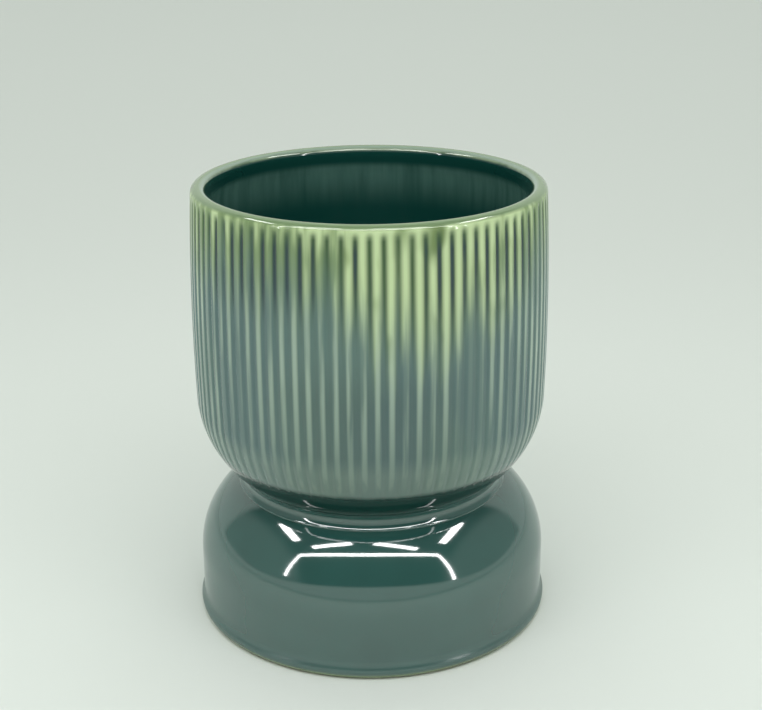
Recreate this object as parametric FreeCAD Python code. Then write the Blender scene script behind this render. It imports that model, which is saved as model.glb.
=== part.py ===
import FreeCAD, Part
import math
import os

# A footed flower pot: a ribbed stoneware bowl luted to a hollow drum foot, with a bung in its drain hole.
# Millimetres, +Z up. The origin is on the pot's axis, in the plane that it stands on.

# Bowl
bowl_height = 122.5          # rim above the middle of the slip joint
rim_radius = 70.0            # outside of the wall just under the rim
barrel_radius = 960.0        # the wall is very slightly barrelled, an arc of this radius
belly_drop = 60.0            # widest place of the barrel, below the rim
heel_radius = 43.5           # arc that turns the wall in under the bowl
bowl_wall = 6.0              # at the rim and round the heel
rim_flat = 0.8               # level land between the two roundings of the rim
rim_lip = 10.0               # height over which the upright inside draws in to the rim
floor_thickness = 7.0

# Ribs, left standing between narrow grooves
rib_count = 88
groove_depth = 1.0           # at the rim; it shrinks with the radius, as the ribs do
groove_share = 0.45          # part of the pitch that a groove's mouth takes
groove_run_out = 2.0         # length over which a groove comes up to the surface under the rim

# Foot
foot_height = 58.2           # middle of the slip joint above the table
foot_radius = 72.4           # upright side of the drum
shoulder_radius = 36.0       # dome of the shoulder
foot_wall = 5.2
base_flare = 1.3             # how far the base stands out past the side
flare_radius = 7.0           # hollow curve that leads out to the base
base_round = 3.0             # outer edge of the base

# Luted neck joint
neck_radius = 51.0           # edge of both castings where they are luted
slip_thickness = 0.8
cove_radius = 4.0            # hollow wiped in the slip
seat_width = 7.0             # level seat on top of the foot
ring_width = 4.0             # turned foot ring under the bowl, which centres it in the neck
ring_drop = 3.0              # how far that ring reaches below the seat
ring_clearance = 0.3

# Drain hole and bung
drain_radius = 7.0
plug_clearance = 0.3
plug_stick_out = 1.5         # shank below the bowl's underside
flange_width = 4.5           # overlap of the flange on the floor, past the hole
flange_thickness = 2.6
knob_radius = 4.2
knob_height = 6.0

# Straight runs that each round stretch is divided into, so that the repeated faces stay few and plain
heel_run_count = 5
barrel_run_count = 2
edge_run_count = 2           # the rim's roundings and the base's rounding
flare_run_count = 1          # the base's flare
shoulder_run_count = 5
inside_run_count = 3         # inside of the heel and inside of the shoulder
cove_run_count = 2

AXIS = FreeCAD.Vector(0, 0, 1)
ORIGIN = FreeCAD.Vector(0, 0, 0)


def spot(r, z):
    """A point of the profile plane, at radius r and height z."""
    return FreeCAD.Vector(r, 0, z)


def on_circle(centre, radius, angle):
    """The point of a circle in the profile plane, its angle measured up from the outward direction."""
    return centre + spot(radius * math.cos(angle), radius * math.sin(angle))


def bearing(centre, point):
    """Angle at which a point lies from a centre in the profile plane."""
    return math.atan2(point.z - centre.z, point.x - centre.x)


def steps(start, end, count):
    """Evenly spaced values from start to end, both included, that bound the given count of runs."""
    return [start + (end - start) * index / count for index in range(count + 1)]


def arc(centre, radius, start, end, count):
    """Points of a round stretch of the profile, which divide it into straight runs."""
    return [on_circle(centre, radius, angle) for angle in steps(start, end, count)]


def circles_meet(centre_a, radius_a, centre_b, radius_b, side):
    """Where two circles of the profile plane cross; side 1 is left of the way from a to b, -1 is right."""
    way = centre_b - centre_a
    apart = way.Length
    along = (radius_a ** 2 - radius_b ** 2 + apart ** 2) / (2 * apart)
    across = math.sqrt(radius_a ** 2 - along ** 2)
    way.normalize()
    left = spot(-way.z, way.x)
    return centre_a + way * along + left * (side * across)


def turned(points):
    """Solid of revolution about the pot's axis, from the corners of its closed profile."""
    return Part.Face(Part.makePolygon(points + points[:1])).revolve(ORIGIN, AXIS, 360)


# Heights and centres that the pieces share
height = foot_height + bowl_height
bowl_seat = foot_height + slip_thickness / 2
foot_seat = foot_height - slip_thickness / 2
neck_bore = neck_radius - seat_width
floor_level = bowl_seat + floor_thickness

rim_round = (bowl_wall - rim_flat) / 2
rim_centre_height = height - rim_round
belly_height = height - belly_drop
barrel_inset = math.sqrt(barrel_radius ** 2 - (rim_centre_height - belly_height) ** 2)
barrel_centre = spot(rim_radius - barrel_inset, belly_height)

heel_centre = circles_meet(spot(neck_radius, bowl_seat), heel_radius,
                           barrel_centre, barrel_radius - heel_radius, -1)
heel_top_angle = bearing(barrel_centre, heel_centre)

shoulder_rise = math.sqrt(shoulder_radius ** 2 - (neck_radius - foot_radius + shoulder_radius) ** 2)
shoulder_centre = spot(foot_radius - shoulder_radius, foot_seat - shoulder_rise)

cove_centre = circles_meet(heel_centre, heel_radius + cove_radius,
                           shoulder_centre, shoulder_radius + cove_radius, 1)
cove_heel_angle = bearing(heel_centre, cove_centre)
cove_shoulder_angle = bearing(shoulder_centre, cove_centre)


def rib_section(point, depth):
    """Corners of a polygon round the bowl: for each rib a groove's root and the two edges of its crest."""
    root = spot(point.x * (1 - depth / rim_radius), point.z)
    pitch = 360 / rib_count
    half_mouth = groove_share * pitch / 2
    corners = []
    for index in range(rib_count):
        for corner, turn in ((root, 0), (point, half_mouth), (point, pitch - half_mouth)):
            around = FreeCAD.Rotation(AXIS, index * pitch + turn)
            corners.append(around.multVec(corner))
    return corners


def panels(corners):
    """A flat face through four corners, or two triangles where the corners don't lie in one plane."""
    outline = Part.makePolygon(corners + corners[:1])
    if outline.findPlane():
        return [Part.Face(outline)]
    a, b, c, d = corners
    return [Part.Face(Part.makePolygon([a, b, c, a])), Part.Face(Part.makePolygon([a, c, d, a]))]


def make_ribbed_body():
    """The bowl's outside as a solid: ribbed sections, joined by flat panels from the neck to the rim."""
    rim_angle = math.asin((rim_centre_height - belly_height) / (barrel_radius - rim_round))
    rim_centre = on_circle(barrel_centre, barrel_radius - rim_round, rim_angle)
    root_angle = rim_angle - groove_run_out / barrel_radius
    heel = arc(heel_centre, heel_radius, cove_heel_angle, heel_top_angle, heel_run_count)
    barrel = arc(barrel_centre, barrel_radius, heel_top_angle, root_angle, barrel_run_count)
    rim = arc(rim_centre, rim_round, rim_angle, math.pi / 2, edge_run_count)

    # The first run above the neck is plain: the grooves come up to the surface there.
    plain = [spot(neck_radius, bowl_seat)] + heel[:2]
    sections = [rib_section(point, 0) for point in plain]
    sections += [rib_section(point, groove_depth) for point in heel[2:] + barrel[1:]]
    sections += [rib_section(point, 0) for point in rim]
    faces = [Part.Face(Part.makePolygon(end + end[:1])) for end in (sections[0], sections[-1])]
    for low, high in zip(sections, sections[1:]):
        for index in range(len(low)):
            faces += panels([low[index - 1], low[index], high[index], high[index - 1]])
    skin = Part.Shell(faces)
    skin.sewShape()
    return Part.Solid(skin)


def make_ribbed_bowl():
    """The ribbed body, hollowed out, with its drain hole and the turned foot ring under its floor."""
    inner_heel = heel_radius - bowl_wall
    inner_radius = heel_centre.x + inner_heel
    rim_inner = spot(rim_radius - bowl_wall + rim_round, rim_centre_height)
    floor_angle = math.asin((floor_level - heel_centre.z) / inner_heel)
    above = height + rim_round
    hollow = turned([spot(0, floor_level)]
                    + arc(heel_centre, inner_heel, floor_angle, 0, inside_run_count)
                    + [spot(inner_radius, rim_centre_height - rim_lip)]
                    + arc(rim_inner, rim_round, math.pi, math.pi / 2, edge_run_count)
                    + [spot(rim_inner.x, above), spot(0, above)])
    drain = Part.makeCylinder(drain_radius, above, ORIGIN, AXIS)

    ring_outer = neck_bore - ring_clearance
    ring_inner = ring_outer - ring_width
    ring_foot = foot_seat - ring_drop
    ring = turned([spot(ring_inner, ring_foot), spot(ring_outer, ring_foot),
                   spot(ring_outer, bowl_seat), spot(ring_inner, bowl_seat)])
    return make_ribbed_body().cut([hollow, drain]).fuse(ring)


def make_pedestal_foot():
    """The hollow foot: level seat, domed shoulder, upright side, flared base and bare standing ring."""
    inner_radius = foot_radius - foot_wall
    inner_shoulder = shoulder_radius - foot_wall
    round_centre = spot(foot_radius + base_flare - base_round, base_round)
    flare_reach = foot_radius + flare_radius - round_centre.x
    flare_rise = math.sqrt((flare_radius + base_round) ** 2 - flare_reach ** 2)
    flare_centre = spot(foot_radius + flare_radius, base_round + flare_rise)
    flare_angle = bearing(round_centre, flare_centre)
    bore_angle = math.acos((neck_bore - shoulder_centre.x) / inner_shoulder)
    return turned([spot(neck_bore, foot_seat), spot(neck_radius, foot_seat)]
                  + arc(shoulder_centre, shoulder_radius, cove_shoulder_angle, 0, shoulder_run_count)
                  + arc(flare_centre, flare_radius, math.pi, math.pi + flare_angle, flare_run_count)
                  + arc(round_centre, base_round, 0, -math.pi / 2, edge_run_count)
                  + [spot(inner_radius, 0)]
                  + arc(shoulder_centre, inner_shoulder, 0, bore_angle, inside_run_count))


def make_neck_fillet():
    """The slip between the two castings, with its hollow cove outside."""
    return turned([spot(neck_bore, foot_seat), spot(neck_radius, foot_seat)]
                  + arc(cove_centre, cove_radius, cove_shoulder_angle + math.pi,
                        cove_heel_angle + math.pi, cove_run_count)
                  + [spot(neck_radius, bowl_seat), spot(neck_bore, bowl_seat)])


def make_drain_plug():
    """The bung: shank in the hole, flange on the floor, and a knob to pull it out by."""
    shank_radius = drain_radius - plug_clearance
    flange_radius = drain_radius + flange_width
    shank_tip = bowl_seat - plug_stick_out
    flange_top = floor_level + flange_thickness
    knob_top = flange_top + knob_height
    return turned([spot(0, shank_tip), spot(shank_radius, shank_tip), spot(shank_radius, floor_level),
                   spot(flange_radius, floor_level), spot(flange_radius, flange_top),
                   spot(knob_radius, flange_top), spot(knob_radius, knob_top), spot(0, knob_top)])


os.makedirs("parts", exist_ok=True)
make_ribbed_bowl().exportStep("parts/ribbed_bowl.step")
make_pedestal_foot().exportStep("parts/pedestal_foot.step")
make_neck_fillet().exportStep("parts/neck_fillet.step")
make_drain_plug().exportStep("parts/drain_plug.step")
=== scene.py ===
import math

import bpy
import numpy as np
from mathutils import Matrix, Vector


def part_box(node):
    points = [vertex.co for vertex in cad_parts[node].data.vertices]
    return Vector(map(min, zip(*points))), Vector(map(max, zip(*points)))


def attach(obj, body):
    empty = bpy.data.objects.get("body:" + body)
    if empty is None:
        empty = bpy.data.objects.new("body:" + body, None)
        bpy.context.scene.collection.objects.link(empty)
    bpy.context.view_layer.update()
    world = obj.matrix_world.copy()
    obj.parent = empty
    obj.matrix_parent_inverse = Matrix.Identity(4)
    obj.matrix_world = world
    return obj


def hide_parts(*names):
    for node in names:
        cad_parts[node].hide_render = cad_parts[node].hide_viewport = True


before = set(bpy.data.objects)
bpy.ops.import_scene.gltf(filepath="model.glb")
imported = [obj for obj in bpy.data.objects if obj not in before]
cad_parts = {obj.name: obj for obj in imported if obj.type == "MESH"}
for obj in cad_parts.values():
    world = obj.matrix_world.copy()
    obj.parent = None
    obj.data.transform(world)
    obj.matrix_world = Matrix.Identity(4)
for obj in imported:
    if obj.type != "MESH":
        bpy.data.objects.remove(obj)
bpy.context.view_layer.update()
bowl_low, bowl_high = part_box("ribbed_bowl")
foot_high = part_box("pedestal_foot")[1]
plug_low, plug_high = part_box("drain_plug")

bl_info = {
    "name": "Footed flower pot",
    "version": (1, 0, 0),
    "blender": (4, 5, 0),
    "location": "3D View > Sidebar > Flower pot",
    "description": "Ribbed stoneware bowl on a hollow drum foot, with a glaze that runs down its ribs",
    "category": "Object",
}

# Points along the stretches of the profiles, and columns round the axis
HEEL_ROWS = 26
BARREL_ROWS = 12
COLLAR_ROWS = 9
RIM_ROWS = 7
LIP_ROWS = 5
INNER_HEEL_ROWS = 9
BASE_ROWS = 14
FLARE_ROWS = 9
SIDE_ROWS = 8
SHOULDER_ROWS = 40
INNER_SHOULDER_ROWS = 12
LAP_ROWS = 4
COVE_ROWS = 14
SOFT_ROWS = 6
FLANGE_ROWS = 3
EDGE_ROWS = 5
FLAT_ROWS = 4
ROUND_COLUMNS = 256
PLUG_COLUMNS = 96

# Columns within the pitch of one rib: closer in the groove, which is at 0, than on the crest
RIB_COLUMNS = np.array([0, 0.05, 0.11, 0.19, 0.29, 0.42, 0.58, 0.71, 0.81, 0.89, 0.95])

# Points of a profile that lie closer than this are one
SAME_POINT = 1e-7

# Shares of the rim's rounding, and of the wall from outside, between which the rim's colour and the painted
# highlight along its inner edge come in
RIM_TONE = (0.30, 0.75)
LIP_GLINT_TONE = (0.55, 0.80)

# Power that narrows the dark line in a groove
GROOVE_TONE = 1.3

# Heights between which the painted reflection along the base's rounded edge comes in, the glaze gives way
# to bare clay, and the glaze dries
EDGE_REFLECTION_HEIGHTS = (0.0030, 0.0008)
BARE_CLAY = (0.0006, 0.0002)
DRY_GLAZE = (0.014, 0.006)

# Place that the lamps are turned towards
POT_MIDDLE = (0, 0, 0.09)


def srgb(red, green, blue):
    """Linear colour of a display colour given in steps of 0 to 255."""
    shares = np.array([red, green, blue]) / 255
    linear = np.where(shares <= 0.04045, shares / 12.92, ((shares + 0.055) / 1.055) ** 2.4)
    return tuple(float(share) for share in linear)


def number(name, description, default, **settings):
    """A number property."""
    return bpy.props.FloatProperty(name=name, description=description, default=default, **settings)


def size(name, description, default):
    """A length property in metres."""
    return number(name, description, default, min=0.0, unit="LENGTH", precision=5)


def tilt(name, description, degrees):
    """An angle property, its default given in degrees."""
    return number(name, description, math.radians(degrees), subtype="ANGLE")


def colour(name, description, default):
    """A colour property, held as linear red, green and blue."""
    return bpy.props.FloatVectorProperty(name=name, description=description, default=default,
                                         size=3, min=0.0, max=1.0, subtype="COLOR")


def opaque(tone):
    """A colour with full cover, as a shader's sockets take it."""
    return tuple(tone) + (1.0,)


class PotForm(bpy.types.PropertyGroup):
    """Sizes of the two castings, the slip joint and the bung."""

    rim_radius: size("Rim radius", "Outside of the wall just under the rim", 0.070)
    bowl_wall: size("Bowl wall", "Wall at the rim and round the heel", 0.006)
    barrel_radius: size("Barrel radius", "Arc of the slightly barrelled wall", 0.960)
    belly_drop: size("Belly drop", "Widest place of the barrel, below the rim", 0.060)
    heel_radius: size("Heel radius", "Arc that turns the wall in under the bowl", 0.0435)
    rim_share: number("Rim rounding", "Part of the wall that each rounding of the rim takes", 0.45,
                      min=0.1, max=0.5)
    rim_lip: size("Rim lip", "Height over which the inside draws in to the rim", 0.010)
    collar: size("Collar", "Band of closer rows under the rim, in which the grooves end", 0.01152)
    floor_thickness: size("Floor", "Thickness of the bowl's floor", 0.007)
    drain_radius: size("Drain hole radius", "Hole in the middle of the floor", 0.007)
    rib_count: bpy.props.IntProperty(name="Ribs", description="Ribs round the bowl", default=88, min=12)
    rib_depth: size("Groove depth", "Depth of the grooves, with the glaze that lies in them", 0.0004)
    groove_share: number("Groove share", "Part of the pitch that a groove takes", 0.5, min=0.1, max=1.0)
    groove_start: size("Groove start", "Height above the cove at which the grooves begin", 0.0095)
    groove_run_in: size("Groove run-in", "Height over which they reach their depth", 0.0090)
    groove_stop: size("Groove stop", "How far below the rim's rounding they begin to end", 0.0024)
    groove_run_out: size("Groove run-out", "Height over which they come up to the surface", 0.0038)
    foot_radius: size("Foot radius", "Upright side of the drum", 0.0724)
    foot_wall: size("Foot wall", "Wall of the drum", 0.0052)
    shoulder_radius: size("Shoulder radius", "Dome of the foot's shoulder", 0.036)
    flare_radius: size("Flare radius", "Hollow curve that leads out to the base", 0.007)
    base_round: size("Base rounding", "Outer edge of the base", 0.003)
    neck_radius: size("Neck radius", "Edge of both castings where they are luted", 0.051)
    seat_width: size("Seat width", "Level seat on top of the foot", 0.007)
    slip: size("Slip", "Thickness of the slip between the castings", 0.0008)
    cove_radius: size("Cove radius", "Hollow wiped in the slip", 0.004)
    ring_width: size("Foot ring", "Width of the turned ring under the bowl", 0.004)
    edge: size("Edge softness", "Rounding of small edges", 0.0004)
    plug_clearance: size("Bung clearance", "Gap round the bung's shank", 0.0003)
    flange_thickness: size("Bung flange", "Thickness of the bung's flange", 0.0026)
    knob_radius: size("Bung knob", "Radius of the bung's knob", 0.0042)
    plug_soft: size("Bung softness", "Rounding of the bung's edges", 0.0012)


class GlazeColours(bpy.types.PropertyGroup):
    """Colours of the reactive glaze, the bare clay and the rubber."""

    upper_rib: colour("Upper rib", "Ribs under the rim", srgb(196, 217, 165))
    upper_side: colour("Upper side", "Darker ribs under the rim, beside the run", srgb(123, 148, 95))
    upper_groove: colour("Upper groove", "Grooves under the rim", srgb(50, 83, 41))
    stain: colour("Stain", "Darker blotches in the upper glaze", srgb(112, 136, 82))
    run: colour("Run", "Dark runs in the upper grooves", srgb(6, 44, 56))
    # Lower rib also gives the colour of the painted reflection of the pale floor round the heel
    lower_rib: colour("Lower rib", "Narrow lines along the ribs of the belly", srgb(150, 171, 154))
    lower_ground: colour("Lower ground", "Belly beside those lines", srgb(79, 109, 102))
    lower_blue: colour("Lower blue", "Bluer clouds on the belly", srgb(74, 104, 103))
    # Neck is painted shade, with a painted reflection of the dark foot, under the heel and low in the
    # belly's middle
    neck: colour("Neck", "Dark pooled glaze at the neck and low on the belly", srgb(14, 52, 46))
    rim: colour("Rim", "Rounded top of the rim", srgb(113, 136, 99))
    # Rim lip is a painted highlight: a pale glint along the rim's inner edge
    rim_lip: colour("Rim lip", "Inner edge of the rim", srgb(140, 160, 143))
    inside: colour("Inside", "Deep glaze inside the bowl", srgb(18, 66, 59))
    inside_film: colour("Inside film", "Thin lighter film high up inside the bowl", srgb(80, 117, 107))
    foot: colour("Foot", "Glaze of the foot and of the cove", srgb(42, 88, 82))
    # Foot edge is a painted reflection: a paler yellowish line along the base's rounded edge
    foot_edge: colour("Foot edge", "Thin glaze at the edge of the base", srgb(120, 140, 96))
    clay: colour("Clay", "Bare clay of the standing ring and inside the foot", srgb(206, 196, 178))
    rubber: colour("Rubber", "Rubber of the bung", srgb(24, 24, 24))
    run_level: size("Run level", "Mean height at which the upper glaze gives way to the lower", 0.160)
    run_drop: size("Run drop", "How much lower the glaze runs at the front", 0.021)
    bowl_index: number("Bowl gloss", "Refractive index of the bowl's glaze", 1.7, min=1.0)
    foot_index: number("Foot gloss", "Refractive index of the foot's glaze", 2.05, min=1.0)


class StudioSettings(bpy.types.PropertyGroup):
    """Camera, floor and lamps."""

    distance: size("Distance", "Camera's distance in front of the pot's axis", 0.54409)
    eye_height: size("Eye height", "Camera above the floor", 0.30857)
    pitch: tilt("Pitch", "How far the camera looks down", 20.278)
    yaw: tilt("Yaw", "How far the camera looks to the right", 0.455)
    roll: tilt("Roll", "Turn about the camera's own axis", -0.36)
    lens: number("Lens", "Focal length in millimetres on a 36 mm sensor", 66.76, subtype="DISTANCE_CAMERA")
    floor: colour("Floor", "Floor and backdrop", srgb(214, 221, 214))
    soft_power: number("Soft lamp", "Power of the large lamp above", 160.0, unit="POWER")
    fill_glow: number("Fill glow", "Radiance of the soft lamp in front", 1.85, min=0.0)
    card_glow: number("Card glow", "Radiance of the cards beside the pot", 15.0, min=0.0)
    strip_glow: number("Strip glow", "Radiance of the lamp strips", 17.0, min=0.0)


def on_circle(centre, radius, angle):
    """Point of a circle in the profile plane: centre plus radius along the angle from outwards."""
    return np.array([centre[0] + radius * math.cos(angle), centre[1] + radius * math.sin(angle)])


def arc(centre, radius, start, end, count):
    """Evenly spaced points of a circle in the profile plane, from one angle to the other."""
    angles = np.linspace(start, end, count)
    return np.stack((centre[0] + radius * np.cos(angles), centre[1] + radius * np.sin(angles)), axis=1)


def line(start, end, count=2):
    """Evenly spaced points of a straight stretch of the profile, or only its two ends."""
    shares = np.linspace(0, 1, count)[:, None]
    return np.asarray(start) * (1 - shares) + np.asarray(end) * shares


def bearing(centre, point):
    """Angle at which a point lies from a centre in the profile plane."""
    return math.atan2(point[1] - centre[1], point[0] - centre[0])


def circles_meet(centre_a, radius_a, centre_b, radius_b, side):
    """Where two circles cross: along the line of centres, then square to it, to the left for side 1."""
    way = np.subtract(centre_b, centre_a)
    apart = float(np.hypot(*way))
    along = (radius_a ** 2 - radius_b ** 2 + apart ** 2) / (2 * apart)
    across = math.sqrt(radius_a ** 2 - along ** 2)
    way /= apart
    return np.asarray(centre_a) + way * along + np.array([-way[1], way[0]]) * side * across


class Profile:
    """Centres and angles that the bowl, foot and fillet share, from the frame and the form's sizes."""

    def __init__(self, form):
        self.rim_level = bowl_high[2]
        self.foot_seat = foot_high[2]
        self.bowl_seat = self.foot_seat + form.slip
        self.neck_bore = form.neck_radius - form.seat_width
        self.floor_level = self.bowl_seat + form.floor_thickness
        self.rim_round = form.rim_share * form.bowl_wall
        belly = self.rim_level - form.belly_drop
        rise = self.rim_level - self.rim_round - belly
        reach = math.sqrt(form.barrel_radius ** 2 - rise ** 2)
        self.barrel_centre = np.array([form.rim_radius - reach, belly])
        neck = (form.neck_radius, self.bowl_seat)
        self.heel_centre = circles_meet(neck, form.heel_radius, self.barrel_centre,
                                        form.barrel_radius - form.heel_radius, -1)
        self.heel_top = bearing(self.barrel_centre, self.heel_centre)
        self.heel_neck = bearing(self.heel_centre, neck)
        inset = form.neck_radius - form.foot_radius + form.shoulder_radius
        drop = math.sqrt(form.shoulder_radius ** 2 - inset ** 2)
        self.shoulder_centre = np.array([form.foot_radius - form.shoulder_radius, self.foot_seat - drop])
        self.shoulder_neck = bearing(self.shoulder_centre, (form.neck_radius, self.foot_seat))
        self.cove_centre = circles_meet(self.heel_centre, form.heel_radius + form.cove_radius,
                                        self.shoulder_centre, form.shoulder_radius + form.cove_radius, 1)
        self.cove_heel = bearing(self.heel_centre, self.cove_centre)
        self.cove_shoulder = bearing(self.shoulder_centre, self.cove_centre)


def join_stretches(*stretches):
    """One closed row of profile points from several stretches, without the points that they share."""
    points = np.concatenate(stretches)
    apart = np.hypot(*(points - np.roll(points, 1, axis=0)).T)
    return points[apart > SAME_POINT]


def profile_normals(points):
    """Outward normals of a closed profile: the mean way along it at each point, turned to the right."""
    way = np.roll(points, -1, axis=0) - np.roll(points, 1, axis=0)
    way /= np.hypot(*way.T)[:, None]
    return np.stack((way[:, 1], -way[:, 0]), axis=1)


def full_turn(count):
    """Evenly spaced angles of one turn about the axis."""
    return np.linspace(0, 2 * math.pi, count, endpoint=False)


def turn_profile(radii, heights, angles):
    """Surface of revolution: x = r cos a, y = r sin a, z = h, over rows of the profile and columns of a."""
    x = radii * np.cos(angles)
    y = radii * np.sin(angles)
    z = np.broadcast_to(heights, x.shape)
    return np.stack((x, y, z), axis=2)


def surface_object(name, points, closed=True):
    """Mesh object from a grid of points that closes round the axis.

    The rows close on each other too, or else end in flat caps that fan out from the axis.
    """
    rows, columns = points.shape[:2]
    index = np.arange(rows * columns).reshape(rows, columns)
    low = index if closed else index[:-1]
    high = np.roll(index, -1, axis=0) if closed else index[1:]
    quads = np.stack((low, np.roll(low, -1, axis=1), np.roll(high, -1, axis=1), high), axis=2)
    faces = quads.reshape(-1, 4).tolist()
    places = points.reshape(-1, 3)
    if not closed:
        ends = np.stack((points[0].mean(axis=0), points[-1].mean(axis=0)))
        bottom = np.stack((np.roll(index[0], -1), index[0], np.full(columns, len(places))), axis=1)
        top = np.stack((index[-1], np.roll(index[-1], -1), np.full(columns, len(places) + 1)), axis=1)
        faces += bottom.tolist() + top.tolist()
        places = np.concatenate((places, ends))
    mesh = bpy.data.meshes.new(name)
    mesh.from_pydata(places.tolist(), [], faces)
    mesh.shade_smooth()
    mesh.validate()
    made = bpy.data.objects.new(name, mesh)
    bpy.context.scene.collection.objects.link(made)
    return made


def paint(piece, name, values):
    """Stores one number for each point of a piece, for its material to read."""
    layer = piece.data.attributes.new(name, "FLOAT", "POINT")
    layer.data.foreach_set("value", np.ascontiguousarray(values, dtype=np.float32).ravel())


def paint_rows(piece, name, values, columns):
    """Stores one number for all points of each row of a piece's grid."""
    paint(piece, name, np.repeat(values, columns))


def smooth_step(low, high, values):
    """0 below low, 1 above high, and a smooth S between."""
    share = np.clip((values - low) / (high - low), 0, 1)
    return share * share * (3 - 2 * share)


def finish_piece(piece, body, slot, material, *nodes):
    """Puts a piece on its body, with its material, in place of its solids; the slot argument is not used.
    """
    piece.data.materials.append(material)
    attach(piece, body)
    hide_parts(*nodes)


def add_node(tree, kind, inputs=None, **settings):
    """A shader node with its settings, and its inputs given as values or as sockets to link."""
    made = tree.nodes.new(kind)
    for name, value in settings.items():
        setattr(made, name, value)
    for name, value in (inputs or {}).items():
        if isinstance(value, bpy.types.NodeSocket):
            tree.links.new(value, made.inputs[name])
        else:
            made.inputs[name].default_value = value
    return made


def maths(tree, operation, first, second):
    """Socket with the result of one sum on two values or sockets."""
    return add_node(tree, "ShaderNodeMath", {0: first, 1: second}, operation=operation).outputs[0]


def times(tree, *shares):
    """Socket with the product of several shares."""
    product = shares[0]
    for share in shares[1:]:
        product = maths(tree, "MULTIPLY", product, share)
    return product


def blend(tree, share, first, second):
    """Socket with a colour that goes from the first to the second as the share goes from 0 to 1."""
    ends = [end if isinstance(end, bpy.types.NodeSocket) else opaque(end) for end in (first, second)]
    mixed = add_node(tree, "ShaderNodeMix", {0: share, 6: ends[0], 7: ends[1]}, data_type="RGBA")
    return mixed.outputs[2]


def ease(tree, value, low, high):
    """Socket that rises smoothly from 0 to 1 as the value goes from low to high."""
    spread = add_node(tree, "ShaderNodeMapRange", {0: value, 1: low, 2: high},
                      interpolation_type="SMOOTHSTEP")
    return spread.outputs[0]


def attribute(tree, name):
    """Socket with a number stored on the piece's points."""
    return add_node(tree, "ShaderNodeAttribute", attribute_name=name).outputs["Fac"]


def noise(tree, coordinates, scale, stretch=(1, 1, 1), detail=2.0):
    """Socket with noise on the piece's own coordinates, stretched along each axis first."""
    mapped = add_node(tree, "ShaderNodeMapping", {"Vector": coordinates, "Scale": stretch})
    made = add_node(tree, "ShaderNodeTexNoise",
                    {"Vector": mapped.outputs[0], "Scale": scale, "Detail": detail})
    return made.outputs[0]


def start_material(name):
    """An empty node material, its tree, its shader and the piece's own coordinates."""
    material = bpy.data.materials.new(name)
    material.use_nodes = True
    tree = material.node_tree
    shader = tree.nodes["Principled BSDF"]
    coordinates = add_node(tree, "ShaderNodeTexCoord").outputs["Object"]
    return material, tree, shader, coordinates


# Roughness of the glaze, and what bare clay and the drier glaze near the base add to it
GLAZE_ROUGHNESS = 0.07
CLAY_ROUGHNESS = 0.7
DRY_ROUGHNESS = 0.2


def glaze_gloss(tree, shader, coordinates, index):
    """Clear, hard gloss of a fired glaze, with the faint unevenness of a poured coat."""
    shader.inputs["Roughness"].default_value = GLAZE_ROUGHNESS
    shader.inputs["IOR"].default_value = index
    waves = noise(tree, coordinates, scale=60.0)
    bump = add_node(tree, "ShaderNodeBump", {"Height": waves, "Strength": 0.05, "Distance": 0.0006})
    tree.links.new(bump.outputs[0], shader.inputs["Normal"])


class BowlPlace:
    """Sockets that the bowl's glaze varies with: coordinates, noises and shares on its points."""

    def __init__(self, tree, coordinates):
        parts = add_node(tree, "ShaderNodeSeparateXYZ", {0: coordinates})
        self.x = parts.outputs["X"]
        self.z = parts.outputs["Z"]
        self.off_middle = maths(tree, "ABSOLUTE", self.x, 0.0)
        self.streaks = noise(tree, coordinates, scale=190.0, stretch=(1, 1, 0.07), detail=3.0)
        self.clouds = noise(tree, coordinates, scale=32.0, stretch=(1, 1, 0.5))
        self.blotches = noise(tree, coordinates, scale=75.0, stretch=(1, 1, 0.4))
        self.groove = attribute(tree, "groove")
        self.crest = attribute(tree, "crest")


# The lobe of upper glaze at the front: its sides, and how far its lower edge wavers, drifts and melts
LOBE_LEFT = (-0.030, 0.018)
LOBE_RIGHT = (0.072, 0.022)
EDGE_WAVER = 0.050
EDGE_DRIFT = 0.010
EDGE_MELT = 0.020


def upper_share(tree, place, lobe, colours):
    """Share of the upper glaze: rises with height, lowered in the lobe, its edge moved by the noises."""
    level = maths(tree, "ADD", place.z, times(tree, lobe, colours.run_drop))
    level = maths(tree, "ADD", level, times(tree, place.streaks, EDGE_WAVER))
    level = maths(tree, "ADD", level, times(tree, place.clouds, EDGE_DRIFT))
    middle = colours.run_level + (EDGE_WAVER + EDGE_DRIFT) / 2
    return ease(tree, level, middle - EDGE_MELT, middle + EDGE_MELT)


# The pale band under the rim: its heights, its sides and its strength
BAND_HEIGHTS = (0.166, 0.177)
BAND_SIDES = (0.070, 0.048)
BAND_SHARE = 0.42

# How much the upper ribs differ, and the values between which they turn pale, stained and dark grooved
RIB_VARIETY = 2.4
PALE_RIBS = (0.0, 0.75)
STAINED = (0.54, 0.72)
DARK_GROOVES = (-0.2, 0.5)


def upper_glaze(tree, place, lobe, colours):
    """Ribs and dark grooves under the rim, palest in the lobe and the band, with streaks and stains."""
    band = times(tree, ease(tree, place.z, *BAND_HEIGHTS), ease(tree, place.off_middle, *BAND_SIDES),
                 BAND_SHARE)
    variety = times(tree, maths(tree, "SUBTRACT", place.streaks, 0.5), RIB_VARIETY)
    pale = maths(tree, "ADD", maths(tree, "ADD", lobe, band), variety)
    tone = blend(tree, ease(tree, pale, *PALE_RIBS), colours.upper_side, colours.upper_rib)
    tone = blend(tree, ease(tree, place.blotches, *STAINED), tone, colours.stain)
    depth = times(tree, place.groove, ease(tree, place.streaks, *DARK_GROOVES))
    return blend(tree, depth, tone, colours.upper_groove)


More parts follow.
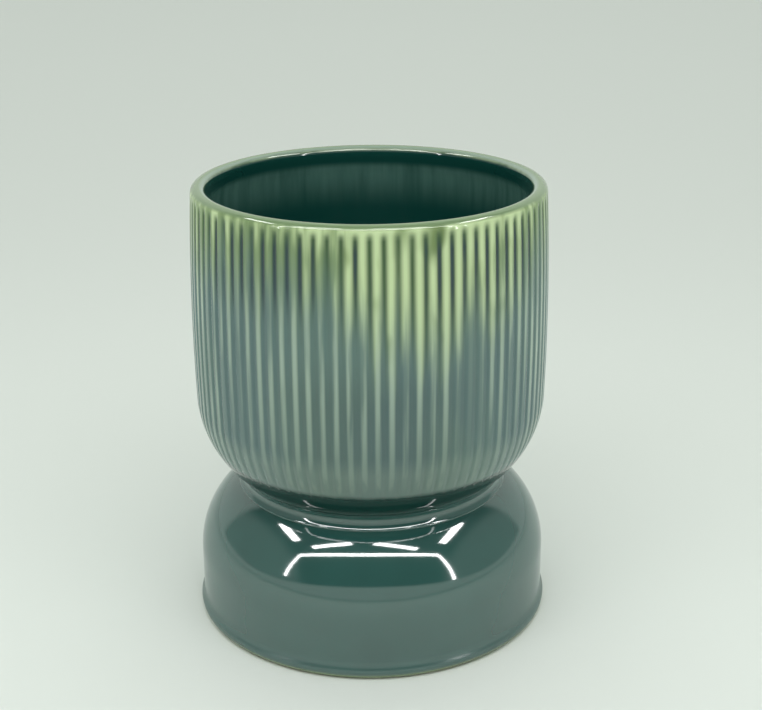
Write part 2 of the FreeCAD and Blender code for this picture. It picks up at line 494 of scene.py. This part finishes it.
# The dark runs: their places off the middle and heights, and the noise and groove shares that they take
RUNS_INNER = (0.014, 0.030)
RUNS_OUTER = (0.064, 0.054)
RUNS_FOOT = (0.140, 0.160)
RUNS_HEAD = (0.1775, 0.170)
RUNS_NOISE = (0.52, 0.72)
RUNS_GROOVE = (0.50, 1.0)
RUNS_BESIDE = 0.25
RUNS_SHARE = 0.85


def dark_runs(tree, place):
    """Share of the dark runs, deep in some grooves, more of them beside the middle than elsewhere."""
    beside = times(tree, ease(tree, place.off_middle, *RUNS_INNER),
                   ease(tree, place.off_middle, *RUNS_OUTER))
    reach = maths(tree, "ADD", place.streaks, times(tree, beside, RUNS_BESIDE))
    return times(tree, ease(tree, reach, *RUNS_NOISE), ease(tree, place.groove, *RUNS_GROOVE),
                 ease(tree, place.z, *RUNS_FOOT), ease(tree, place.z, *RUNS_HEAD), RUNS_SHARE)


# The belly: its bluer clouds, the painted shade low in its middle, and the painted reflection of the pale
# floor that lightens it round the heel
BLUER = (0.42, 0.62)
LOW_SHADE_SIDES = (0.048, 0.015)
LOW_SHADE_HEIGHTS = (0.135, 0.112)
LOW_SHADE_SHARE = 0.30
HEEL_REFLECTION_HEIGHTS = (0.094, 0.084)
HEEL_REFLECTION_SHARE = 0.22

# The pale lines along its ribs: where they show, and how much they differ
LINE_CREST = (0.35, 1.0)
LINE_HEIGHTS = (0.05, 0.14)
LINE_NOISE = (0.39, 0.60)
LINE_VARIETY = 0.85
LINE_LEAST = 0.20


def lower_glaze(tree, place, colours):
    """Clouded ground of the belly, with painted shade low in the middle and a painted reflection of the
    floor round the heel, and a line on each rib.
    """
    ground = blend(tree, ease(tree, place.clouds, *BLUER), colours.lower_ground, colours.lower_blue)
    # Painted shade: darker low in the belly's middle, front and back
    shaded = times(tree, ease(tree, place.off_middle, *LOW_SHADE_SIDES), ease(tree, place.z, *LOW_SHADE_HEIGHTS),
                   LOW_SHADE_SHARE)
    ground = blend(tree, shaded, ground, colours.neck)
    # Painted reflection of the pale floor, lightening the belly round the heel
    floor_reflection = times(tree, ease(tree, place.z, *HEEL_REFLECTION_HEIGHTS), HEEL_REFLECTION_SHARE)
    ground = blend(tree, floor_reflection, ground, colours.lower_rib)
    variety = times(tree, ease(tree, place.streaks, *LINE_NOISE), LINE_VARIETY)
    lines = times(tree, ease(tree, place.crest, *LINE_CREST), maths(tree, "ADD", variety, LINE_LEAST),
                  ease(tree, place.z, *LINE_HEIGHTS))
    return blend(tree, lines, ground, colours.lower_rib)


# The thin film inside the bowl: the noise that it takes, and its heights
FILM_NOISE = (-0.1, 0.8)
FILM_FOOT = (0.152, 0.170)
FILM_HEAD = (0.1745, 0.1710)


def inside_glaze(tree, place, colours):
    """Deep green, with a thin lighter film that hangs in streaks below the rim."""
    film = times(tree, ease(tree, place.streaks, *FILM_NOISE), ease(tree, place.z, *FILM_FOOT),
                 ease(tree, place.z, *FILM_HEAD))
    return blend(tree, film, colours.inside, colours.inside_film)


# The painted shade and painted reflection of the dark foot on the heel at the neck: the heights of its
# edge, and how far the streaks move it
NECK_SHADE_HEIGHTS = (0.0752, 0.0724)
NECK_SHADE_WAVER = 0.0015


def bowl_glaze(colours):
    """Reactive glaze: pale on the upper ribs, running down in curtains to blue-green, deep green inside."""
    material, tree, shader, coordinates = start_material("bowl_glaze")
    place = BowlPlace(tree, coordinates)
    lobe = times(tree, ease(tree, place.x, *LOBE_LEFT), ease(tree, place.x, *LOBE_RIGHT))
    outside = blend(tree, upper_share(tree, place, lobe, colours), lower_glaze(tree, place, colours),
                    upper_glaze(tree, place, lobe, colours))
    outside = blend(tree, dark_runs(tree, place), outside, colours.run)
    # Painted shade and a painted reflection of the dark foot, under the heel at the neck
    shade_level = maths(tree, "SUBTRACT", place.z, times(tree, place.streaks, NECK_SHADE_WAVER))
    outside = blend(tree, ease(tree, shade_level, *NECK_SHADE_HEIGHTS), outside, colours.neck)
    # The rim's inner edge takes a painted highlight
    rim = blend(tree, attribute(tree, "lip"), colours.rim, colours.rim_lip)
    outside = blend(tree, attribute(tree, "rim"), outside, rim)
    glazed = blend(tree, attribute(tree, "inside"), outside, inside_glaze(tree, place, colours))
    tree.links.new(glazed, shader.inputs["Base Color"])
    glaze_gloss(tree, shader, coordinates, colours.bowl_index)
    return material


# How dark the foot's glaze is in its darkest clouds, as a share of its colour
FOOT_SHADE = 0.75


def foot_glaze(colours):
    """Deep blue-green glaze, with a painted yellowish reflection along the base's rounded edge, and bare
    clay below and inside.
    """
    material, tree, shader, coordinates = start_material("foot_glaze")
    clouds = noise(tree, coordinates, scale=45.0)
    body = blend(tree, clouds, colours.foot, FOOT_SHADE * np.array(colours.foot))
    # Painted reflection: paler and yellowish along the base's rounded edge
    edged = blend(tree, attribute(tree, "edge_reflection"), body, colours.foot_edge)
    bare = attribute(tree, "bare")
    tree.links.new(blend(tree, bare, edged, colours.clay), shader.inputs["Base Color"])
    glaze_gloss(tree, shader, coordinates, colours.foot_index)
    z = add_node(tree, "ShaderNodeSeparateXYZ", {0: coordinates}).outputs["Z"]
    dry = times(tree, ease(tree, z, *DRY_GLAZE), DRY_ROUGHNESS)
    rough = maths(tree, "ADD", times(tree, bare, CLAY_ROUGHNESS), GLAZE_ROUGHNESS)
    tree.links.new(maths(tree, "ADD", rough, dry), shader.inputs["Roughness"])
    return material


def slip_glaze(colours):
    """The foot's glaze where it fills the cove at the neck."""
    material, tree, shader, coordinates = start_material("slip_glaze")
    shader.inputs["Base Color"].default_value = opaque(colours.foot)
    glaze_gloss(tree, shader, coordinates, colours.foot_index)
    return material


def plug_rubber(colours):
    """Matt black rubber with a fine grain."""
    material, tree, shader, coordinates = start_material("plug_rubber")
    shader.inputs["Base Color"].default_value = opaque(colours.rubber)
    shader.inputs["Roughness"].default_value = 0.6
    grain = noise(tree, coordinates, scale=900.0)
    bump = add_node(tree, "ShaderNodeBump", {"Height": grain, "Strength": 0.2, "Distance": 0.0002})
    tree.links.new(bump.outputs[0], shader.inputs["Normal"])
    return material


class POT_OT_bowl(bpy.types.Operator):
    """Builds the ribbed bowl.

    Its profile is turned about the axis and sunk along its normals: by the grooves' depth, times a cosine
    squared across each groove, times a share that fades to 0 above the neck and under the rim.
    """

    bl_idname = "pot.bowl"
    bl_label = "Ribbed bowl"

    def execute(self, context):
        form = context.scene.pot_form
        shape = Profile(form)
        inner_heel = form.heel_radius - form.bowl_wall
        inner_radius = shape.heel_centre[0] + inner_heel
        rim_level = shape.rim_level - shape.rim_round
        rim_angle = math.asin((rim_level - shape.barrel_centre[1]) / (form.barrel_radius - shape.rim_round))
        rim_outer = on_circle(shape.barrel_centre, form.barrel_radius - shape.rim_round, rim_angle)
        rim_inner = np.array([form.rim_radius - form.bowl_wall + shape.rim_round, rim_level])
        floor_angle = math.asin((shape.floor_level - shape.heel_centre[1]) / inner_heel)
        floor_edge = on_circle(shape.heel_centre, inner_heel, floor_angle)
        hole_edge = form.drain_radius + form.edge
        hole_land = hole_edge + 3 * form.edge
        collar_angle = rim_angle - form.collar / form.barrel_radius
        ring_outer = shape.neck_bore - form.edge
        ring_inner = ring_outer - form.ring_width

        heel = arc(shape.heel_centre, form.heel_radius, shape.heel_neck, shape.heel_top, HEEL_ROWS)
        barrel = arc(shape.barrel_centre, form.barrel_radius, shape.heel_top, collar_angle, BARREL_ROWS)
        collar = arc(shape.barrel_centre, form.barrel_radius, collar_angle, rim_angle, COLLAR_ROWS)
        rim = np.concatenate((arc(rim_outer, shape.rim_round, rim_angle, math.pi / 2, RIM_ROWS),
                              arc(rim_inner, shape.rim_round, math.pi / 2, math.pi, RIM_ROWS)))
        lip_foot = (inner_radius, rim_level - form.rim_lip)
        inside = np.concatenate((line(rim[-1], lip_foot, LIP_ROWS),
                                 line(lip_foot, (inner_radius, shape.heel_centre[1]), FLAT_ROWS),
                                 arc(shape.heel_centre, inner_heel, 0, floor_angle, INNER_HEEL_ROWS),
                                 line(floor_edge, (hole_land, shape.floor_level), FLAT_ROWS),
                                 arc((hole_edge, shape.floor_level - form.edge), form.edge,
                                     math.pi / 2, math.pi, EDGE_ROWS)))
        under = np.concatenate((arc((hole_edge, shape.bowl_seat + form.edge), form.edge,
                                    math.pi, 1.5 * math.pi, EDGE_ROWS),
                                [(hole_land, shape.bowl_seat), (ring_inner, shape.bowl_seat),
                                 (ring_inner, bowl_low[2]), (ring_outer, bowl_low[2]),
                                 (ring_outer, shape.bowl_seat)]))
        profile = join_stretches(heel, barrel, collar, rim, inside, under)
        normals = profile_normals(profile)

        turns = (np.arange(form.rib_count)[:, None] + RIB_COLUMNS).ravel()
        hollow = np.cos(math.pi * turns) ** 2
        across = np.abs(turns - np.round(turns)) / form.groove_share
        sunk = np.where(across < 0.5, np.cos(math.pi * across) ** 2, 0.0)

        rows = np.arange(len(profile))
        heights = profile[:, 1]
        outside = rows < np.argmax(heights)
        cove_edge = on_circle(shape.heel_centre, form.heel_radius, shape.cove_heel)
        start = cove_edge[1] + form.groove_start
        stop = rim_level - form.groove_stop
        fade = (smooth_step(start, start + form.groove_run_in, heights)
                * smooth_step(stop + form.groove_run_out, stop, heights) * outside)
        depth = form.rib_depth * fade[:, None] * sunk
        points = turn_profile(profile[:, :1] - depth * normals[:, :1],
                              profile[:, 1:] - depth * normals[:, 1:],
                              2 * math.pi * turns / form.rib_count)
        bowl = surface_object("bowl_with_ribs", points)
        paint(bowl, "groove", fade[:, None] * hollow ** GROOVE_TONE)
        paint(bowl, "crest", fade[:, None] * (1 - hollow))

        # The inside's colour comes in over the last rows of the rim's inner rounding.
        rim_end = np.argmin(np.hypot(*(profile - rim[-1]).T))
        within = smooth_step(rim_end - 3, rim_end - 1, rows)
        on_rim = smooth_step(*RIM_TONE, (heights - rim_level) / shape.rim_round)
        lip = smooth_step(*LIP_GLINT_TONE, (form.rim_radius - profile[:, 0]) / form.bowl_wall)
        paint_rows(bowl, "rim", on_rim, len(turns))
        paint_rows(bowl, "lip", lip, len(turns))
        paint_rows(bowl, "inside", within, len(turns))
        finish_piece(bowl, "pot", "bowl_glaze", bowl_glaze(context.scene.pot_glaze), "ribbed_bowl")
        return {"FINISHED"}


class POT_OT_foot(bpy.types.Operator):
    """Builds the hollow drum foot."""

    bl_idname = "pot.foot"
    bl_label = "Drum foot"

    def execute(self, context):
        form = context.scene.pot_form
        shape = Profile(form)
        inner_radius = form.foot_radius - form.foot_wall
        inner_shoulder = form.shoulder_radius - form.foot_wall
        base = min(foot_high[0], foot_high[1])
        round_centre = np.array([base - form.base_round, form.base_round])
        reach = form.foot_radius + form.flare_radius - round_centre[0]
        rise = math.sqrt((form.flare_radius + form.base_round) ** 2 - reach ** 2)
        flare_centre = np.array([form.foot_radius + form.flare_radius, form.base_round + rise])
        flare_angle = bearing(round_centre, flare_centre)
        bore_angle = math.acos((shape.neck_bore - shape.shoulder_centre[0]) / inner_shoulder)
        ring_edge = np.array([inner_radius + form.base_round / 2, form.base_round / 2])

        profile = join_stretches(
            arc(ring_edge, form.base_round / 2, math.pi, 1.5 * math.pi, EDGE_ROWS),
            line((ring_edge[0], 0), (round_centre[0], 0), FLAT_ROWS),
            arc(round_centre, form.base_round, -math.pi / 2, flare_angle, BASE_ROWS),
            arc(flare_centre, form.flare_radius, math.pi + flare_angle, math.pi, FLARE_ROWS),
            line((form.foot_radius, flare_centre[1]), (form.foot_radius, shape.shoulder_centre[1]),
                 SIDE_ROWS),
            arc(shape.shoulder_centre, form.shoulder_radius, 0, shape.shoulder_neck, SHOULDER_ROWS),
            line((form.neck_radius, shape.foot_seat), (shape.neck_bore, shape.foot_seat)),
            arc(shape.shoulder_centre, inner_shoulder, bore_angle, 0, INNER_SHOULDER_ROWS))
        points = turn_profile(profile[:, :1], profile[:, 1:], full_turn(ROUND_COLUMNS))
        foot = surface_object("drum_foot", points)

        # The glazed outside starts where the standing ring ends, and goes up to the seat.
        rows = np.arange(len(profile))
        ring_end = EDGE_ROWS + FLAT_ROWS - 2
        seat_end = len(profile) - INNER_SHOULDER_ROWS - 1
        outer = (rows >= ring_end) & (rows < seat_end)
        # The lowest glazed rows carry the painted reflection along the base's edge.
        edge_reflection = smooth_step(*EDGE_REFLECTION_HEIGHTS, profile[:, 1]) * outer
        bare = np.where(outer, smooth_step(*BARE_CLAY, profile[:, 1]), 1.0)
        paint_rows(foot, "edge_reflection", edge_reflection, ROUND_COLUMNS)
        paint_rows(foot, "bare", bare, ROUND_COLUMNS)
        finish_piece(foot, "pot", "foot_glaze", foot_glaze(context.scene.pot_glaze), "pedestal_foot")
        return {"FINISHED"}


class POT_OT_fillet(bpy.types.Operator):
    """Builds the ring of slip at the neck."""

    bl_idname = "pot.fillet"
    bl_label = "Neck fillet"

    def execute(self, context):
        form = context.scene.pot_form
        shape = Profile(form)
        profile = join_stretches(
            line((shape.neck_bore, shape.foot_seat), (form.neck_radius, shape.foot_seat)),
            arc(shape.shoulder_centre, form.shoulder_radius, shape.shoulder_neck,
                shape.cove_shoulder, LAP_ROWS),
            arc(shape.cove_centre, form.cove_radius, shape.cove_shoulder + math.pi,
                shape.cove_heel + math.pi, COVE_ROWS),
            arc(shape.heel_centre, form.heel_radius, shape.cove_heel, shape.heel_neck, LAP_ROWS),
            line((form.neck_radius, shape.bowl_seat), (shape.neck_bore, shape.bowl_seat)))
        points = turn_profile(profile[:, :1], profile[:, 1:], full_turn(ROUND_COLUMNS))
        fillet = surface_object("slip_fillet", points)
        finish_piece(fillet, "pot", "foot_glaze", slip_glaze(context.scene.pot_glaze), "neck_fillet")
        return {"FINISHED"}


class POT_OT_plug(bpy.types.Operator):
    """Builds the rubber bung of the drain hole."""

    bl_idname = "pot.plug"
    bl_label = "Drain bung"

    def execute(self, context):
        form = context.scene.pot_form
        shape = Profile(form)
        flange_radius = min(plug_high[0], plug_high[1])
        flange_top = shape.floor_level + form.flange_thickness
        shank = form.drain_radius - form.plug_clearance
        knob = form.knob_radius
        soft = form.plug_soft
        tip = plug_low[2]
        top = plug_high[2]
        profile = np.concatenate((
            arc((shank - soft, tip + soft), soft, -math.pi / 2, 0, SOFT_ROWS),
            line((shank, tip + soft), (shank, shape.floor_level - form.edge), FLAT_ROWS)[1:],
            line((shank, shape.floor_level), (flange_radius - 2 * form.edge, shape.floor_level), FLAT_ROWS),
            arc((flange_radius - form.edge, shape.floor_level + form.edge), form.edge,
                -math.pi / 2, 0, EDGE_ROWS),
            arc((flange_radius - soft, flange_top - soft), soft, 0, math.pi / 2, SOFT_ROWS),
            line((flange_radius - soft, flange_top), (knob + form.edge, flange_top), FLANGE_ROWS)[1:],
            arc((knob + form.edge, flange_top + form.edge), form.edge,
                1.5 * math.pi, math.pi, EDGE_ROWS)[1:],
            arc((knob - soft, top - soft), soft, 0, math.pi / 2, SOFT_ROWS)))
        points = turn_profile(profile[:, :1], profile[:, 1:], full_turn(PLUG_COLUMNS))
        plug = surface_object("drain_bung", points, closed=False)
        finish_piece(plug, "plug", "plug_rubber", plug_rubber(context.scene.pot_glaze), "drain_plug")
        return {"FINISHED"}


def lamp_strip(name, start, end, width, glow, mirrored=True, aim=POT_MIDDLE):
    """A rectangular lamp from one point to another, turned towards the pot or another place.

    Its power is the glow, a radiance, times its area and pi. A mirrored one shows only as a highlight
    in the glaze, and any other only lights.
    """
    start = Vector(start)
    end = Vector(end)
    along = (end - start).normalized()
    middle = (start + end) / 2
    away = middle - Vector(aim)
    away = (away - along * away.dot(along)).normalized()
    light = bpy.data.lights.new(name, "AREA")
    light.shape = "RECTANGLE"
    light.size = (end - start).length
    light.size_y = width
    light.energy = glow * math.pi * light.size * width
    made = bpy.data.objects.new(name, light)
    turn = Matrix((along, away.cross(along), away)).transposed().to_4x4()
    made.matrix_world = Matrix.Translation(middle) @ turn
    made.visible_diffuse = not mirrored
    made.visible_glossy = mirrored
    bpy.context.scene.collection.objects.link(made)


class POT_OT_stage(bpy.types.Operator):
    """Sets the floor, lamps and camera."""

    bl_idname = "pot.stage"
    bl_label = "Stage"

    def execute(self, context):
        studio = context.scene.pot_studio
        self.lay_floor(studio)
        self.hang_lamps(studio)
        self.set_sky(studio)
        self.place_camera(studio)
        context.scene.view_settings.view_transform = "Standard"
        return {"FINISHED"}

    def lay_floor(self, studio):
        """A flat square of 6 m, centred under the pot."""
        half = 3.0
        mesh = bpy.data.meshes.new("floor")
        mesh.from_pydata([(-half, -half, 0), (half, -half, 0), (half, half, 0), (-half, half, 0)],
                         [], [(0, 1, 2, 3)])
        floor = bpy.data.objects.new("floor", mesh)
        bpy.context.scene.collection.objects.link(floor)
        material, _, shader, _ = start_material("pale_floor")
        shader.inputs["Base Color"].default_value = opaque(studio.floor)
        shader.inputs["Roughness"].default_value = 0.9
        mesh.materials.append(material)

    def hang_lamps(self, studio):
        """Soft lamp above, strips that the glaze mirrors, and a fill lamp and cards that only light.

        The cards lie on the floor and face up, so that they light the bowl's sides and not the floor.
        """
        soft = bpy.data.lights.new("soft_lamp", "AREA")
        soft.size = 8.0
        soft.energy = studio.soft_power
        above = bpy.data.objects.new("soft_lamp", soft)
        above.location = (0, 1.2, 2.5)
        above.visible_glossy = False
        bpy.context.scene.collection.objects.link(above)
        glow = studio.strip_glow
        level = 0.60
        strip_width = 0.04
        post_width = 0.025
        side_width = 0.06
        left_corner = (-0.60, -0.41, level)
        right_corner = (0.546, -0.44, level)
        lamp_strip("front_strip", left_corner, right_corner, strip_width, glow)
        lamp_strip("left_post", left_corner, (-0.60, -0.41, 0.18), post_width, glow)
        lamp_strip("right_post", right_corner, (0.546, -0.44, 0.13), post_width, glow)
        lamp_strip("second_strip_left", (-0.385, -0.285, level), (-0.11, -0.24, level), strip_width, glow)
        lamp_strip("second_strip_right", (0.01, -0.243, level), (0.287, -0.335, level), strip_width, glow)
        lamp_strip("left_strip", (-0.467, -0.165, level), (-0.467, 0.085, level), side_width, glow)
        lamp_strip("right_strip", (0.457, -0.23, level), (0.457, 0.07, level), side_width, glow)

        fill_width = 0.4
        lamp_strip("fill_lamp", (-0.55, -0.36, level), (0.55, -0.36, level), fill_width,
                   studio.fill_glow, mirrored=False)
        card_width = 0.34
        for name, x in (("left_card", -0.5), ("right_card", 0.5)):
            near = (x, 0.15, 0.002)
            far = (x, 0.65, 0.002)
            overhead = (x, 0.40, 1.0)
            lamp_strip(name, near, far, card_width, studio.card_glow, mirrored=False, aim=overhead)

    def set_sky(self, studio):
        """Surroundings like a light box: pale below and behind, dim above and through its open front.

        The pale part ends low down at the sides, higher up towards the front as the square of the way
        there, and at an upright edge towards the back.
        """
        front_rise = 0.24
        pale_top = (0.02, 0.09)
        back_edge = (0.54, 0.44)
        sides = (0.66, 0.80)
        front_dim = 0.13
        side_dim = 0.48
        world = bpy.data.worlds.new("studio")
        world.use_nodes = True
        tree = world.node_tree
        way = add_node(tree, "ShaderNodeTexCoord").outputs["Generated"]
        parts = add_node(tree, "ShaderNodeSeparateXYZ", {0: way})
        y = parts.outputs["Y"]
        ahead = maths(tree, "MAXIMUM", maths(tree, "MULTIPLY", y, -1.0), 0.0)
        over = maths(tree, "SUBTRACT", parts.outputs["Z"], times(tree, ahead, ahead, front_rise))
        open_front = times(tree, ease(tree, over, *pale_top), ease(tree, y, *back_edge))
        beside = ease(tree, maths(tree, "ABSOLUTE", parts.outputs["X"], 0.0), *sides)
        pale = np.array(studio.floor)
        dim = blend(tree, beside, front_dim * pale, side_dim * pale)
        sky = blend(tree, open_front, studio.floor, dim)
        tree.links.new(sky, tree.nodes["Background"].inputs["Color"])
        bpy.context.scene.world = world

    def place_camera(self, studio):
        """Camera in front of the pot: yaw and pitch give its view, and roll turns it about that view."""
        level = math.cos(studio.pitch)
        view = Vector((math.sin(studio.yaw) * level, math.cos(studio.yaw) * level, -math.sin(studio.pitch)))
        right = Vector((math.cos(studio.yaw), -math.sin(studio.yaw), 0))
        up = right.cross(view)
        side = right * math.cos(studio.roll) + up * math.sin(studio.roll)
        top = up * math.cos(studio.roll) - right * math.sin(studio.roll)
        data = bpy.data.cameras.new("camera")
        data.sensor_width = 36
        data.lens = studio.lens
        data.clip_start = 0.01
        camera = bpy.data.objects.new("camera", data)
        turn = Matrix((side, top, -view)).transposed().to_4x4()
        camera.matrix_world = Matrix.Translation((0, -studio.distance, studio.eye_height)) @ turn
        bpy.context.scene.collection.objects.link(camera)
        bpy.context.scene.camera = camera


class POT_PT_panel(bpy.types.Panel):
    """Lists the pot's sizes, colours and operators."""

    bl_idname = "POT_PT_panel"
    bl_label = "Flower pot"
    bl_space_type = "VIEW_3D"
    bl_region_type = "UI"
    bl_category = "Flower pot"

    def draw(self, context):
        scene = context.scene
        for group in (scene.pot_form, scene.pot_glaze, scene.pot_studio):
            box = self.layout.box()
            for name in group.__annotations__:
                box.prop(group, name)
        for operator in OPERATORS:
            self.layout.operator(operator.bl_idname)


GROUPS = (PotForm, GlazeColours, StudioSettings)
OPERATORS = (POT_OT_bowl, POT_OT_foot, POT_OT_fillet, POT_OT_plug, POT_OT_stage)


def register():
    """Registers the classes and hangs their settings on the scene."""
    for made in GROUPS + OPERATORS + (POT_PT_panel,):
        bpy.utils.register_class(made)
    bpy.types.Scene.pot_form = bpy.props.PointerProperty(type=PotForm)
    bpy.types.Scene.pot_glaze = bpy.props.PointerProperty(type=GlazeColours)
    bpy.types.Scene.pot_studio = bpy.props.PointerProperty(type=StudioSettings)


def unregister():
    """Takes the settings and the classes away again."""
    del bpy.types.Scene.pot_form, bpy.types.Scene.pot_glaze, bpy.types.Scene.pot_studio
    for made in reversed(GROUPS + OPERATORS + (POT_PT_panel,)):
        bpy.utils.unregister_class(made)


def main():
    """Builds the pot and its stage."""
    register()
    bpy.ops.pot.bowl()
    bpy.ops.pot.foot()
    bpy.ops.pot.fillet()
    bpy.ops.pot.plug()
    bpy.ops.pot.stage()
    bpy.context.view_layer.update()


if __name__ == "__main__":
    main()
